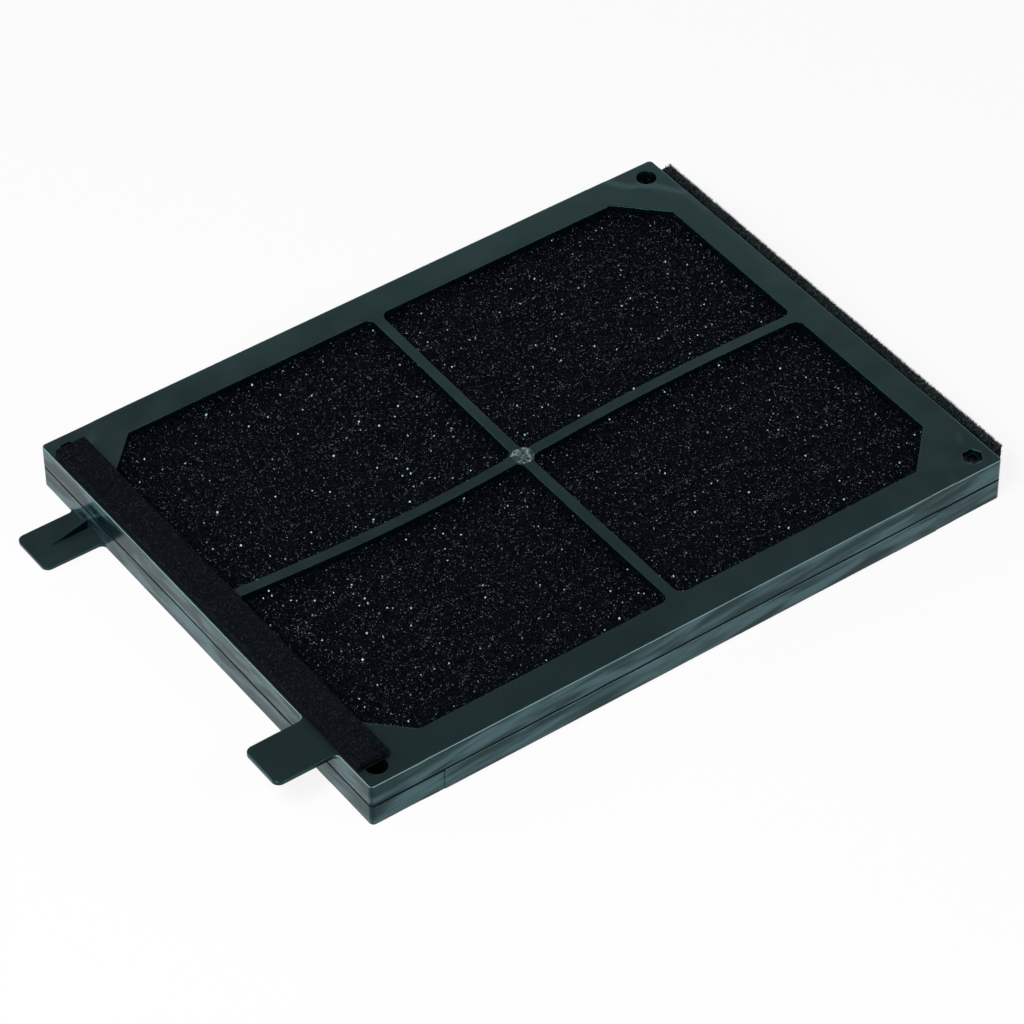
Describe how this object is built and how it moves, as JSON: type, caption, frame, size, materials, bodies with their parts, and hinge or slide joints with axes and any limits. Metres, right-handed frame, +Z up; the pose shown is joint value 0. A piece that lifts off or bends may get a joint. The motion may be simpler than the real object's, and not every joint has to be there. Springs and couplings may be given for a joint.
{
  "type": "filter cassette",
  "caption": "Flat rectangular carbon filter cassette for a solder fume extractor: screwed half frames with ribbed windows clamp a carbon mat, with foam sealing strips and pull tabs.",
  "frame": {"origin": "centre of the frame's bottom face", "axes": "+X along the cassette from the pull tabs to the far end wall, +Y to the left seen from the tabs, +Z up through the face with the foam strip"},
  "size_m": [0.2559, 0.1778, 0.0192],
  "materials": {
    "shell_plastic": "satin moulded, near black with a green tinge",
    "carbon": "coarse black carbon grain with fine glints",
    "seal_foam": "open-pored charcoal foam",
    "adhesive_film": "thin translucent double-sided film",
    "fastener_steel": "black oxide"
  },
  "bodies": {
    "base": {"lower_shell": "shell_plastic", "screw_front_left": "fastener_steel", "screw_rear_right": "fastener_steel", "nut_front_right": "fastener_steel", "nut_rear_left": "fastener_steel"},
    "cover": {"upper_shell": "shell_plastic", "top_seal_foam": "seal_foam", "top_seal_adhesive": "adhesive_film", "end_seal_foam": "seal_foam", "end_seal_adhesive": "adhesive_film", "screw_front_right": "fastener_steel", "screw_rear_left": "fastener_steel", "nut_front_left": "fastener_steel", "nut_rear_right": "fastener_steel"},
    "mat": {"carbon_mat": "carbon"}
  },
  "joints": [
    {"name": "cover_lift", "type": "slide", "parent": "base", "child": "cover", "axis": [0, 0, 1], "range_m": [0, 0.05]},
    {"name": "mat_lift", "type": "slide", "parent": "base", "child": "mat", "axis": [0, 0, 1], "range_m": [0, 0.025]}
  ],
  "couplings": [
    {"joint": "mat_lift", "follows": "cover_lift", "ratio": 0.5}
  ]
}
